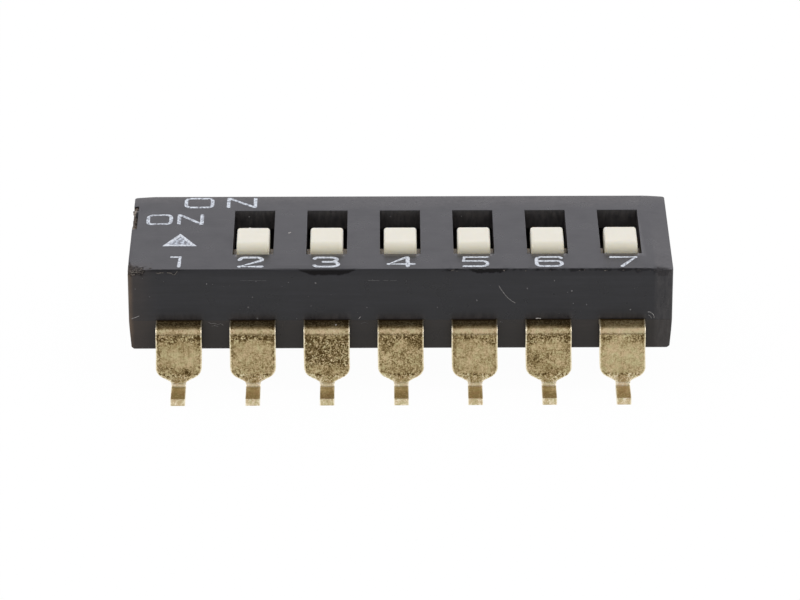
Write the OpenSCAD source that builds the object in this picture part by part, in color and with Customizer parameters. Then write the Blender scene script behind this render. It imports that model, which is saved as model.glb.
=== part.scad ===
// Surface-mount slide DIP switch with gull-wing terminals.
// The board plane is Z = 0, positions run along X, and the slides move to ON along +Y.

/* [Layout] */
// Number of terminal positions along the body
positions = 7; // [3:1:12]
// Distance between neighbouring positions
pitch = 2.54; // [2.4:0.01:3]
// First position that has a window and a slide
first_slide = 2; // [1:1:3]

/* [Body] */
// Body from front face to rear face
body_w = 6.1; // [5.8:0.05:7.5]
// Body past the outer positions' cells, at each end
end_margin = 0.46; // [0.35:0.005:0.8]
// Gap between the board and the underside of the base
standoff = 1.33; // [1:0.01:1.8]
// Height of the base below the parting line
base_h = 1.13; // [0.8:0.01:1.6]
// Height of the cover above the parting line
cover_h = 1.93; // [1.8:0.01:2.4]
// Thickness of the cover's roof
roof_t = 0.7; // [0.5:0.01:0.8]
// Thickness of the cover's front and rear walls
wall_t = 0.5; // [0.35:0.01:0.6]
// Thickness of the ribs between the positions
rib_t = 0.5; // [0.35:0.01:0.6]
// Radius of the body's upright corners
corner_r = 0.1; // [0.06:0.01:0.3]
// Radius of the cover's top edges
edge_r = 0.04; // [0.03:0.01:0.15]
// How far the base tapers in towards its foot, on each side
base_draft = 0.07; // [0.02:0.01:0.12]
// Bevel along the foot of the base, front and rear
foot_bevel = 0.04; // [0.02:0.01:0.1]
// Bevel along the foot of the base at its ends
end_bevel = 0.1; // [0.05:0.01:0.15]
// Bevel round the base's upper edge, which shows as the parting line
seam_bevel = 0.02; // [0.01:0.01:0.06]
// Width of the sloping strip at each end of the cover's top
land_w = 0.85; // [0.4:0.05:1]
// How far that strip drops at the end of the body
land_drop = 0.06; // [0.02:0.01:0.1]
// Width of a locating tongue in the base's ends
tongue_w = 1.2; // [0.8:0.05:2]
// Thickness of a locating tongue
tongue_t = 0.3; // [0.2:0.01:0.35]
// Height of a locating tongue
tongue_h = 0.6; // [0.4:0.01:0.8]
// Clearance between the base and the cover where one fits in the other
fit_gap = 0.03; // [0.01:0.005:0.05]

/* [Windows] */
// Length of a window along the slide's travel
window_l = 3.62; // [3.2:0.01:3.8]
// Width of a window
window_w = 1.4; // [1.2:0.01:1.6]

/* [Gate recess] */
// Length of the moulding gate's recess in the first end
gate_l = 1.9; // [1:0.05:2.2]
// Depth of the recess into the end wall
gate_d = 0.17; // [0.1:0.01:0.3]
// Height of the recess below the cover's top
gate_h = 0.25; // [0.2:0.01:0.6]
// Middle of the recess, towards the rear of the body
gate_y = 1.36; // [0:0.01:1.5]
// Length of the broken gate stub left in the recess
stub_l = 0.36; // [0.2:0.01:0.6]

/* [Slides] */
// Length of a slide's knob
knob_l = 1.64; // [1.3:0.01:1.9]
// How far the knob stands above the cover
knob_h = 0.32; // [0.2:0.01:0.6]
// Gap between the knob and each side of its window
knob_gap = 0.135; // [0.05:0.005:0.16]
// Gap between the knob and the window's end when it is home
end_gap = 0.06; // [0.03:0.01:0.12]
// Radius across the knob's front and rear top edges
knob_r = 0.3; // [0.1:0.01:0.34]
// Radius along the knob's side edges
knob_edge_r = 0.1; // [0.05:0.01:0.15]
// Thickness of the flange under the roof
flange_t = 0.35; // [0.25:0.01:0.45]
// Length of the flange past the knob, front and rear
flange_lip = 0.3; // [0.2:0.01:0.4]
// Running gap between the flange and the roof, and under the skids
slide_gap = 0.04; // [0.02:0.005:0.06]
// Running gap between the flange and the rib at each side
side_gap = 0.07; // [0.03:0.01:0.1]
// Thickness of the two skids under the flange
skid_t = 0.25; // [0.18:0.01:0.3]

/* [Contact springs] */
// Thickness of the contact spring's strip
spring_t = 0.08; // [0.06:0.01:0.12]
// Gap between the spring and each skid
spring_gap = 0.08; // [0.04:0.01:0.12]
// Length of the spring's flat middle
spring_flat = 0.7; // [0.5:0.01:0.9]
// Distance of each contact nose from the slide's middle
nose_y = 0.8; // [0.7:0.01:0.9]
// Outside radius of a contact nose
nose_r = 0.2; // [0.16:0.01:0.24]
// Width of the slot that splits each arm into two fingers
finger_gap = 0.2; // [0.1:0.01:0.3]
// Gap left between a contact nose and the pads
contact_gap = 0.02; // [0.01:0.005:0.04]
// Radius of the stake that holds the spring to its slide
stake_r = 0.14; // [0.1:0.01:0.18]

/* [Terminals] */
// Thickness of the terminal strip
term_t = 0.26; // [0.2:0.01:0.3]
// Width of a terminal's shoulder
term_w = 1.58; // [1.3:0.01:1.7]
// Width of a terminal's foot
foot_w = 0.5; // [0.4:0.01:0.65]
// Distance of the terminal's outer face from the body
reach = 0.68; // [0.5:0.01:0.9]
// Length of the foot beyond the terminal's outer face
foot_l = 0.98; // [0.6:0.01:1.4]
// Outside radius of the upper bend
bend_r = 0.33; // [0.3:0.01:0.45]
// Inside radius of the bend above the foot
foot_r = 0.16; // [0.06:0.01:0.2]
// Height of the neck above the foot, where the shoulder's flanks meet it
neck_h = 0.17; // [0.12:0.01:0.4]
// Slope of the shoulder's flanks above level
flank_angle = 29; // [15:1:45]
// Radius of the shoulder's corners above the flanks
shoulder_r = 0.42; // [0.2:0.01:0.48]
// Radius of the fillets between flanks and neck
neck_r = 0.14; // [0.06:0.01:0.2]
// Width of the contact pad inside the body
pad_w = 1.8; // [1.6:0.01:1.9]
// How far the front pad runs past the rear nose's ON position
pad_overlap = 0.27; // [0.2:0.01:0.35]
// Insulating gap between the front and rear pads
pad_gap = 0.7; // [0.5:0.01:0.8]
// Gap between a terminal and the sides of its channel
channel_gap = 0.01; // [0.005:0.005:0.03]
// Height of the relief in the cover above each terminal
relief_h = 0.03; // [0.02:0.01:0.12]
// Gap between the relief's sides and the terminal
relief_gap = 0.05; // [0.02:0.01:0.1]

/* [Hidden] */
$fn = 64;
// Overrun that takes a cut clear of the face it opens
over = 0.5;

body_l = positions * pitch + 2 * end_margin;
inner_l = positions * pitch - rib_t;
inner_w = body_w - 2 * wall_t;
z_seam = standoff + base_h;
z_top = z_seam + cover_h;
z_roof = z_top - roof_t;

travel = window_l - knob_l - 2 * end_gap;
rest_y = -travel / 2;
knob_w = window_w - 2 * knob_gap;
flange_l = knob_l + 2 * flange_lip;
flange_w = pitch - rib_t - 2 * side_gap;
z_flange = z_roof - slide_gap - flange_t;

spring_w = flange_w - 2 * skid_t - 2 * spring_gap;
stake_gap = 0.02;
stake_foot = 0.1;

// Rise from the neck to the middle of the shoulder's corner radius, up the sloping flank
flank_rise = shoulder_r / cos(flank_angle)
    + (term_w / 2 - shoulder_r - foot_w / 2) * tan(flank_angle);
pad_front_end = travel / 2 - nose_y + pad_overlap;
pad_rear_start = pad_front_end + pad_gap;
outer_y = body_w / 2 + reach;

dark_cover = "#3a3a3c";
dark_base = "#363537";
gold_strip = "#b59c66";
spring_gold = "#cdb06a";
cream_slide = "#ebe7da";

// Place of a position along the body
function place(i) = (i - (positions + 1) / 2) * pitch;

// Points of an arc, for the bent strip of the contact spring
function arc(centre, r, from, to, steps) =
    [for (k = [0:steps]) let (a = from + (to - from) * k / steps) centre + r * [cos(a), sin(a)]];
function mirrored(points) = [for (p = points) [-p[0], p[1]]];
function backwards(points) = [for (k = [len(points) - 1:-1:0]) points[k]];

// A flat outline in Y and Z, drawn out along X about the middle
module along_x(length) {
    translate([-length / 2, 0, 0]) rotate([90, 0, 90]) linear_extrude(length) children();
}

// A flat outline in X and Z, drawn out along Y about the middle
module along_y(length) {
    translate([0, length / 2, 0]) rotate([90, 0, 0]) linear_extrude(length) children();
}

// A rectangle standing on the first axis with its upper corners rounded
module crowned_outline(w, h, r) {
    translate([-w / 2, 0]) square([w, h - r]);
    translate([-w / 2 + r, 0]) square([w - 2 * r, h]);
    for (side = [-1, 1]) translate([side * (w / 2 - r), h - r]) circle(r);
}

// A rectangle about the origin with all four corners rounded
module plan_outline(l, w, r) {
    square([l - 2 * r, w], center = true);
    square([l, w - 2 * r], center = true);
    for (x = [-1, 1], y = [-1, 1]) translate([x * (l / 2 - r), y * (w / 2 - r)]) circle(r);
}

// A cube about the middle in X and Y, standing on z
module bar(l, w, h, x = 0, y = 0, z = 0) {
    translate([x - l / 2, y - w / 2, z]) cube([l, w, h]);
}

// The cover's outside: rounded in plan, crowned in both sections, with its ends sloping a little
module cover_block() {
    slope_x = body_l / 2 - land_w;
    intersection() {
        translate([0, 0, z_seam]) linear_extrude(cover_h) plan_outline(body_l, body_w, corner_r);
        translate([0, 0, z_seam]) along_x(body_l) crowned_outline(body_w, cover_h, edge_r);
        translate([0, 0, z_seam]) along_y(body_w) intersection() {
            crowned_outline(body_l, cover_h, edge_r);
            polygon([
                [-body_l / 2, 0], [body_l / 2, 0],
                [body_l / 2, cover_h - land_drop], [slope_x, cover_h],
                [-slope_x, cover_h], [-body_l / 2, cover_h - land_drop]
            ]);
        }
    }
}

// The recess round the moulding gate, less the broken stub that stays in it
module gate_recess() {
    floor_z = z_top - gate_h;
    x_wall = -body_l / 2 + gate_d;
    stub_y = gate_y + gate_l / 2 - stub_l * 1.25;
    difference() {
        bar(gate_d + over, gate_l, gate_h + over, x_wall - (gate_d + over) / 2, gate_y, floor_z);
        translate([x_wall, stub_y, floor_z + gate_h * 0.1]) rotate([0, 90, 0])
            cylinder(d = stub_l, h = 1.5 * gate_d, center = true);
    }
}

module cover() {
    tongue_x = inner_l / 2 + tongue_t + 2 * fit_gap;
    color(dark_cover) difference() {
        cover_block();
        bar(inner_l, inner_w, z_roof - z_seam + over, z = z_seam - over);
        for (i = [first_slide:positions])
            bar(window_w, window_l, roof_t + 2 * over, x = place(i), z = z_roof - over);
        for (i = [1:positions])
            bar(term_w + 2 * relief_gap, body_w + over, relief_h + over, x = place(i), z = z_seam - over);
        bar(2 * tongue_x, tongue_w + 2 * fit_gap, tongue_h + fit_gap + over, z = z_seam - over);
        gate_recess();
    }
}

// Section of the base below the parting line: tapered, with its edges bevelled
module base_outline(w, bevel) {
    foot = w / 2 - base_draft;
    top = w / 2 - seam_bevel;
    polygon([
        [-foot + bevel, 0], [foot - bevel, 0], [foot, bevel],
        [w / 2, base_h - seam_bevel], [top, base_h],
        [-top, base_h], [-w / 2, base_h - seam_bevel], [-foot, bevel]
    ]);
}

// The channel for a terminal whose pad ends at pad_y: a wide bay inside, narrower through the wall
module channel(pad_y) {
    depth = term_t + over;
    mouth_l = pad_y + body_w / 2 + over;
    bay_l = pad_y + inner_w / 2;
    translate([0, 0, z_seam - term_t]) {
        bar(term_w + 2 * channel_gap, mouth_l, depth, y = pad_y - mouth_l / 2);
        bar(pad_w + 2 * channel_gap, bay_l, depth, y = pad_y - bay_l / 2);
    }
}

module base() {
    rib_l = inner_w - 2 * fit_gap;
    root = base_h / 2;
    rib_h = root + z_roof - z_seam - fit_gap;
    tongue_x = inner_l / 2 + fit_gap + tongue_t / 2;
    color(dark_base) {
        difference() {
            intersection() {
                translate([0, 0, standoff]) linear_extrude(base_h) plan_outline(body_l, body_w, corner_r);
                translate([0, 0, standoff]) along_x(body_l) base_outline(body_w, foot_bevel);
                translate([0, 0, standoff]) along_y(body_w) base_outline(body_l, end_bevel);
            }
            for (i = [1:positions]) translate([place(i), 0, 0]) {
                channel(pad_front_end);
                mirror([0, 1, 0]) channel(-pad_rear_start);
            }
        }
        for (i = [1:positions - 1]) bar(rib_t, rib_l, rib_h, x = place(i + 0.5), z = z_seam - root);
        for (side = [-1, 1])
            bar(tongue_t, tongue_w, root + tongue_h, x = side * tongue_x, z = z_seam - root);
    }
}

// Side view of the bent strip, running out towards -Y from the end of its pad
module terminal_section(pad_y) {
    lower = bend_r - term_t;
    shelf_y = -outer_y + bend_r;
    foot_bend = foot_r + term_t;
    translate([shelf_y, z_seam - term_t]) square([pad_y - shelf_y, term_t]);
    translate([shelf_y, z_seam - bend_r]) intersection() {
        difference() {
            circle(bend_r);
            circle(lower);
        }
        translate([-bend_r, 0]) square(bend_r);
    }
    translate([-outer_y, foot_bend]) square([term_t, z_seam - bend_r - foot_bend]);
    translate([-outer_y - foot_r, foot_bend]) intersection() {
        difference() {
            circle(foot_bend);
            circle(foot_r);
        }
        translate([0, -foot_bend]) square(foot_bend);
    }
    translate([-outer_y - foot_l, 0]) square([foot_l - foot_r, term_t]);
}

// Front view of the strip: wide shoulder with round corners and sloping flanks, filleted into the foot
module terminal_outline() {
    corner = [term_w / 2 - shoulder_r, term_t + neck_h + flank_rise];
    flank = corner + shoulder_r * [sin(flank_angle), -cos(flank_angle)];
    neck = [foot_w / 2, term_t + neck_h];
    along = [cos(flank_angle), sin(flank_angle)];
    run = neck_r * tan(45 - flank_angle / 2);
    fillet = neck + [neck_r, -run];
    translate([-term_w / 2, corner[1]]) square([term_w, z_seam - corner[1]]);
    translate([-foot_w / 2, 0]) square([foot_w, corner[1]]);
    for (side = [0, 1]) mirror([side, 0]) {
        translate(corner) circle(shoulder_r);
        polygon([[0, neck[1]], neck, flank, corner, [0, corner[1]]]);
        difference() {
            polygon([[0, fillet[1]], neck + [0, -run], fillet, neck + run * along, [0, corner[1]]]);
            translate(fillet) circle(neck_r);
        }
    }
}

// A terminal whose pad ends at pad_y, running out of the body towards -Y
module terminal(pad_y) {
    pad_l = pad_y + inner_w / 2;
    color(gold_strip) {
        intersection() {
            along_x(term_w) terminal_section(pad_y);
            along_y(2 * (outer_y + foot_l)) terminal_outline();
        }
        bar(pad_w, pad_l, term_t, y = pad_y - pad_l / 2, z = z_seam - term_t);
    }
}

module terminal_front() {
    terminal(pad_front_end);
}

module terminal_rear() {
    mirror([0, 1, 0]) terminal(-pad_rear_start);
}

// Knob rounded across its travel and along its sides, on a flange with two skids and a stake
module slide() {
    knob_z = z_top + knob_h - z_flange;
    skid_z = z_seam + slide_gap;
    color(cream_slide) translate([0, rest_y, 0]) {
        translate([0, 0, z_flange]) intersection() {
            along_x(knob_w) crowned_outline(knob_l, knob_z, knob_r);
            along_y(knob_l) crowned_outline(knob_w, knob_z, knob_edge_r);
        }
        bar(flange_w, flange_l, flange_t, z = z_flange);
        for (side = [-1, 1])
            bar(skid_t, flange_l, z_flange - skid_z, x = side * (flange_w - skid_t) / 2, z = skid_z);
        stake_z = z_flange - spring_t - stake_foot;
        translate([0, 0, stake_z]) cylinder(r = stake_r, h = spring_t + stake_foot + flange_t / 2);
    }
}

// Side view of the contact spring: flat middle, two falling arms, and a curled nose on each
module spring_section() {
    half = spring_t / 2;
    mid_r = nose_r - half;
    shoulder = [spring_flat / 2, z_flange - half];
    nose = [nose_y, z_seam + contact_gap + nose_r];
    run = nose - shoulder;
    fall = atan2(-run[1], run[0]) + asin(mid_r / norm(run));
    mitre = half * tan(fall / 2);
    start = 270 - fall;
    steps = 10;
    curl = 350;
    upper = concat(
        [[shoulder[0] + mitre, shoulder[1] + half]],
        arc(nose, nose_r - spring_t, start, curl, steps)
    );
    lower = concat(
        [[shoulder[0] - mitre, shoulder[1] - half]],
        arc(nose, nose_r, start, curl, steps)
    );
    polygon(concat(backwards(mirrored(upper)), upper, backwards(lower), mirrored(lower)));
}

module contact_spring() {
    hole_r = stake_r + stake_gap;
    slot_l = 2 * (nose_y + nose_r);
    slot_start = spring_flat / 2 + spring_t;
    color(spring_gold) translate([0, rest_y, 0]) difference() {
        along_x(spring_w) spring_section();
        for (side = [-1, 1])
            bar(finger_gap, slot_l, z_top - z_seam, y = side * (slot_start + slot_l / 2), z = z_seam);
        translate([0, 0, z_flange - over]) cylinder(r = hole_r, h = 2 * over);
    }
}

cover();
base();
for (i = [1:positions]) translate([place(i), 0, 0]) {
    terminal_front();
    terminal_rear();
}
for (i = [first_slide:positions]) translate([place(i), 0, 0]) {
    slide();
    contact_spring();
}
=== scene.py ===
import math
import random

import bmesh
import bpy
from mathutils import Matrix, Vector, noise


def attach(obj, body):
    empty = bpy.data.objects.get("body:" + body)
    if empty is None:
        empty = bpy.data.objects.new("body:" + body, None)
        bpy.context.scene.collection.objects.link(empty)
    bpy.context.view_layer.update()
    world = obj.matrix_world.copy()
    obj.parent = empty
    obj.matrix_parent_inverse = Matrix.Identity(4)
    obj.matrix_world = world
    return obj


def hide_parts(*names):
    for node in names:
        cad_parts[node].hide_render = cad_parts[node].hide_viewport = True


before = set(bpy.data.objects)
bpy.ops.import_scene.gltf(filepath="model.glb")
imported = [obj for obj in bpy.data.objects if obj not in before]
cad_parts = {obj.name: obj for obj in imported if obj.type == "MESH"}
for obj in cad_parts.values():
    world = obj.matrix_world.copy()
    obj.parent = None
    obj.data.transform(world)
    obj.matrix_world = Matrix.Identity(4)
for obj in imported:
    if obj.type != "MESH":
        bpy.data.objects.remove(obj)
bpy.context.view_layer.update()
# The lumps and grains come out the same each time
noise.seed_set(11)

# Sizes of the switch in millimetres, as in the part's source
MM = 0.001
PITCH = 2.54
POSITIONS = range(1, 8)
SLIDES = range(2, 8)
BODY_W = 6.1
WALL_T = 0.5
Z_SEAM = 2.46
Z_TOP = 4.39
ROOF_T = 0.7
LAND_W, LAND_DROP = 0.85, 0.06
BODY_L = 7 * PITCH + 2 * 0.46
TRAVEL = 1.86


def place(position):
    """X of a position along the row, in millimetres."""
    return (position - 4) * PITCH


# Building helpers

# Faces over this size in square millimetres stay flat where they meet each other
LARGE_FACE = 0.8
# Points closer together than this become one
MERGE = 2e-4


def finish_piece(bm, name, material, body, replaced=(), smooth_angle=35):
    """Turn a bmesh in millimetres into a finished object that rides on a body."""
    bmesh.ops.remove_doubles(bm, verts=bm.verts, dist=MERGE)
    for face in bm.faces:
        face.smooth = True
    for edge in bm.edges:
        if len(edge.link_faces) == 2:
            angle = math.degrees(edge.calc_face_angle(0))
            both_large = min(f.calc_area() for f in edge.link_faces) > LARGE_FACE
            edge.smooth = angle < (1 if both_large else smooth_angle)
    bmesh.ops.scale(bm, vec=(MM, MM, MM), verts=bm.verts)
    mesh = bpy.data.meshes.new(name)
    bm.to_mesh(mesh)
    bm.free()
    mesh.materials.append(material)
    piece = bpy.data.objects.new(name, mesh)
    bpy.context.scene.collection.objects.link(piece)
    even = piece.modifiers.new("even_normals", "WEIGHTED_NORMAL")
    even.keep_sharp = True
    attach(piece, body)
    if replaced:
        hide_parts(*replaced)


def solid_copy(node):
    """A merged copy of a CAD node in millimetres, with its flat faces made whole."""
    bm = bmesh.new()
    bm.from_mesh(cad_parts[node].data)
    bmesh.ops.scale(bm, vec=(1 / MM, 1 / MM, 1 / MM), verts=bm.verts)
    bmesh.ops.remove_doubles(bm, verts=bm.verts, dist=0.0005)
    bmesh.ops.dissolve_limit(bm, angle_limit=math.radians(0.5), verts=bm.verts, edges=bm.edges)
    return bm


def box(bm, low, high):
    """Add a box between two corners."""
    size = Vector(high) - Vector(low)
    middle = (Vector(high) + Vector(low)) / 2
    bmesh.ops.create_cube(bm, size=1, matrix=Matrix.Translation(middle) @ Matrix.Diagonal((*size, 1)))


def cut(bm, axis, at, faces=None):
    """Cut some faces, or the whole mesh, along the plane that is square to an axis at a place on it."""
    if faces is None:
        geom = bm.verts[:] + bm.edges[:] + bm.faces[:]
    else:
        edges = dict.fromkeys(e for f in faces for e in f.edges)
        geom = list(dict.fromkeys(v for f in faces for v in f.verts)) + list(edges) + faces
    normal = Vector(axis == k for k in range(3))
    bmesh.ops.bisect_plane(bm, geom=geom, plane_co=at * normal, plane_no=normal, dist=1e-5)


def raise_faces(bm, faces):
    """Draw faces out into a new skin and return the vertices of that skin."""
    grown = bmesh.ops.extrude_face_region(bm, geom=faces)["geom"]
    return [v for v in grown if isinstance(v, bmesh.types.BMVert)]


def add_strokes(bm, strokes, radius, resolution=2, closed=False):
    """Add round threads that run through lists of points."""
    curve = bpy.data.curves.new("strokes", "CURVE")
    curve.dimensions = "3D"
    curve.bevel_depth = radius
    curve.bevel_resolution = resolution
    curve.use_fill_caps = True
    for points in strokes:
        spline = curve.splines.new("POLY")
        spline.points.add(len(points) - 1)
        spline.use_cyclic_u = closed
        for point, co in zip(spline.points, points):
            point.co = (*co, 1)
    drawn = bpy.data.objects.new("strokes", curve)
    mesh = bpy.data.meshes.new_from_object(drawn)
    bm.from_mesh(mesh)
    bpy.data.objects.remove(drawn)
    bpy.data.curves.remove(curve)
    bpy.data.meshes.remove(mesh)


# Materials

# Names of the levels that are worked out for each point of a surface
GRIME_AND_LIGHT = "grime_and_light"
DENT_AND_SHADE = "dent_and_shade"
SCUFF = "scuff"
DUST_AND_LIGHT = "dust_and_light"
BROWN_AND_LIGHT = "brown_and_light"
WRINKLE = "wrinkle"
SPOTS = "spots"
MATT = "matt"
PAINTED_SHADE = "painted_shade"


def linear(hex_colour):
    """An sRGB hex colour as linear RGBA."""
    parts = [int(hex_colour[i:i + 2], 16) / 255 for i in (1, 3, 5)]
    return (*[c / 12.92 if c <= 0.04045 else ((c + 0.055) / 1.055) ** 2.4 for c in parts], 1)


def grain(size_mm):
    """Texture scale for features of a size in millimetres."""
    return 1 / (size_mm * MM)


def add(tree, kind, inputs=None, links=None, **settings):
    """Add one shader node of a kind with its settings, socket values and links from sockets or nodes."""
    node = tree.nodes.new("ShaderNode" + kind)
    for key, value in settings.items():
        setattr(node, key, value)
    for key, value in (inputs or {}).items():
        node.inputs[key].default_value = value
    for key, source in (links or {}).items():
        if isinstance(source, bpy.types.Node):
            source = next(socket for socket in source.outputs if socket.enabled)
        tree.links.new(source, node.inputs[key])
    return node


def new_material(name):
    """An empty node material and its tree."""
    material = bpy.data.materials.new(name)
    material.use_nodes = True
    material.node_tree.nodes.clear()
    return material, material.node_tree


def moulded_black(name, body_hex, dust_hex):
    """Moulded glass-filled nylon: satin black, greyed by dust and by painted light in shaded places, browned
    in places by a painted warm reflection and by painted light, darkened with painted shade in its dents,
    torn pale where hit.
    """
    material, tree = new_material(name)
    where = add(tree, "TexCoord").outputs["Object"]
    dent_and_shade, scuff, dust_and_light, brown_and_light = [add(tree, "Attribute", attribute_name=kind).outputs["Fac"]
                                for kind in (DENT_AND_SHADE, SCUFF, DUST_AND_LIGHT, BROWN_AND_LIGHT)]
    along = add(tree, "Mapping", {"Scale": (0.06, 1, 1)}, {"Vector": where})
    streak = add(tree, "TexNoise", {"Scale": grain(0.12), "Detail": 3.0, "Roughness": 0.6},
                 {"Vector": along})
    cloud = add(tree, "TexNoise", {"Scale": grain(0.9), "Detail": 4.0, "Roughness": 0.6}, {"Vector": where})
    pores = add(tree, "TexNoise", {"Scale": grain(0.045), "Detail": 2.0, "Roughness": 0.5},
                {"Vector": where})
    shreds = add(tree, "TexNoise", {"Scale": grain(0.045), "Detail": 3.0, "Roughness": 0.7},
                 {"Vector": where})
    haze = add(tree, "Math", links={0: streak, 1: cloud}, operation="MULTIPLY")
    haze_fade = add(tree, "MapRange", {"From Min": 0.15, "From Max": 0.4, "To Min": 0.0, "To Max": 0.5},
                    {"Value": haze})
    plain = add(tree, "Mix", {6: linear(body_hex), 7: linear(dust_hex)}, {0: haze_fade}, data_type="RGBA")
    # Dust, and the painted light that lifts shaded places, cling in short upright streaks
    upright = add(tree, "Mapping", {"Scale": (1, 1, 0.3)}, {"Vector": where})
    cling = add(tree, "TexNoise", {"Scale": grain(0.13), "Detail": 3.0, "Roughness": 0.65},
                {"Vector": upright})
    cling_fade = add(tree, "MapRange", {"From Min": 0.35, "From Max": 0.65, "To Min": 0.4, "To Max": 1.5},
                     {"Value": cling})
    powder_and_lift = add(tree, "Math", links={0: dust_and_light, 1: cling_fade}, operation="MULTIPLY")
    dusty_and_lit = add(tree, "Mix", {7: linear("#4A4745")}, {0: powder_and_lift, 6: plain}, data_type="RGBA")
    # A brown skin that is thin in places: a painted warm reflection on the left end, painted light on the
    # gate recess's shaded floor, and brown along the front edge
    skin = add(tree, "Math", links={0: brown_and_light, 1: cloud}, operation="MULTIPLY")
    skin_fade = add(tree, "MapRange", {"From Max": 0.6}, {"Value": skin})
    browned_and_lit = add(tree, "Mix", {7: linear("#56483A")}, {0: skin_fade, 6: dusty_and_lit}, data_type="RGBA")
    torn = add(tree, "Math", links={0: scuff, 1: shreds}, operation="MULTIPLY")
    torn_fade = add(tree, "MapRange", {"From Min": 0.52, "From Max": 0.64}, {"Value": torn})
    # Dents and crushed places are matt, and their colour is also darkened towards near black as painted shade
    # under the worn edge
    worst = add(tree, "Math", links={0: dent_and_shade, 1: scuff}, operation="MAXIMUM")
    pitted_and_shaded = add(tree, "MapRange", {"From Min": 0.45, "From Max": 0.9, "To Max": 0.65}, {"Value": worst})
    rag_and_shade = add(tree, "Mix", {7: linear("#141210")}, {0: pitted_and_shaded, 6: browned_and_lit}, data_type="RGBA")
    colour = add(tree, "Mix", {7: linear("#756E66")}, {0: torn_fade, 6: rag_and_shade}, data_type="RGBA")
    satin = add(tree, "MapRange", {"From Min": 0.3, "From Max": 0.7, "To Min": 0.25, "To Max": 0.38},
                {"Value": cloud})
    crushed = add(tree, "Math", {1: 0.7}, {0: scuff}, operation="MULTIPLY")
    hurt = add(tree, "Math", links={0: dent_and_shade, 1: crushed}, operation="MAXIMUM")
    rough = add(tree, "Math", {1: 0.45}, {0: hurt, 2: satin}, operation="MULTIPLY_ADD")
    shine = add(tree, "MapRange", {"To Min": 0.45, "To Max": 0.07}, {"Value": hurt})
    height = add(tree, "Math", {1: 0.5}, {0: streak, 2: pores}, operation="MULTIPLY_ADD")
    bump = add(tree, "Bump", {"Strength": 0.3, "Distance": 0.006 * MM}, {"Height": height})
    shader = add(tree, "BsdfPrincipled", {"IOR": 1.41},
                 {"Base Color": colour, "Roughness": rough, "Normal": bump, "Specular IOR Level": shine})
    add(tree, "OutputMaterial", links={"Surface": shader})
    return material


def moulded_cream():
    """Natural acetal: smooth cream, a little waxy, so light bleeds into its round edges; warmed and darkened
    low down with painted shade.
    """
    material, tree = new_material("natural_acetal")
    where = add(tree, "TexCoord").outputs["Object"]
    cloud = add(tree, "TexNoise", {"Scale": grain(0.5), "Detail": 3.0}, {"Vector": where})
    painted_shade = add(tree, "Attribute", attribute_name=PAINTED_SHADE).outputs["Fac"]
    clean = add(tree, "Mix", {6: linear("#D1CEBC"), 7: linear("#D7D4C4")}, {0: cloud}, data_type="RGBA")
    # Painted warm shade yellows it down its sides, and painted shade makes the flange in the slot brown
    warm_shaded = add(tree, "Mix", {7: linear("#CABF94")}, {0: painted_shade, 6: clean}, data_type="RGBA")
    slot_shaded = add(tree, "MapRange", {"From Min": 0.7, "From Max": 1.0, "To Max": 0.85}, {"Value": painted_shade})
    colour = add(tree, "Mix", {7: linear("#6E604F")}, {0: slot_shaded, 6: warm_shaded}, data_type="RGBA")
    skin = add(tree, "TexNoise", {"Scale": grain(0.06), "Detail": 2.0}, {"Vector": where})
    bump = add(tree, "Bump", {"Strength": 0.08, "Distance": 0.004 * MM}, {"Height": skin})
    shader = add(tree, "BsdfPrincipled",
                 {"Roughness": 0.38, "IOR": 1.5, "Subsurface Weight": 0.35,
                  "Subsurface Radius": (1.0, 0.8, 0.5), "Subsurface Scale": 0.12 * MM},
                 {"Base Color": colour, "Normal": bump})
    add(tree, "OutputMaterial", links={"Surface": shader})
    return material


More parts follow.
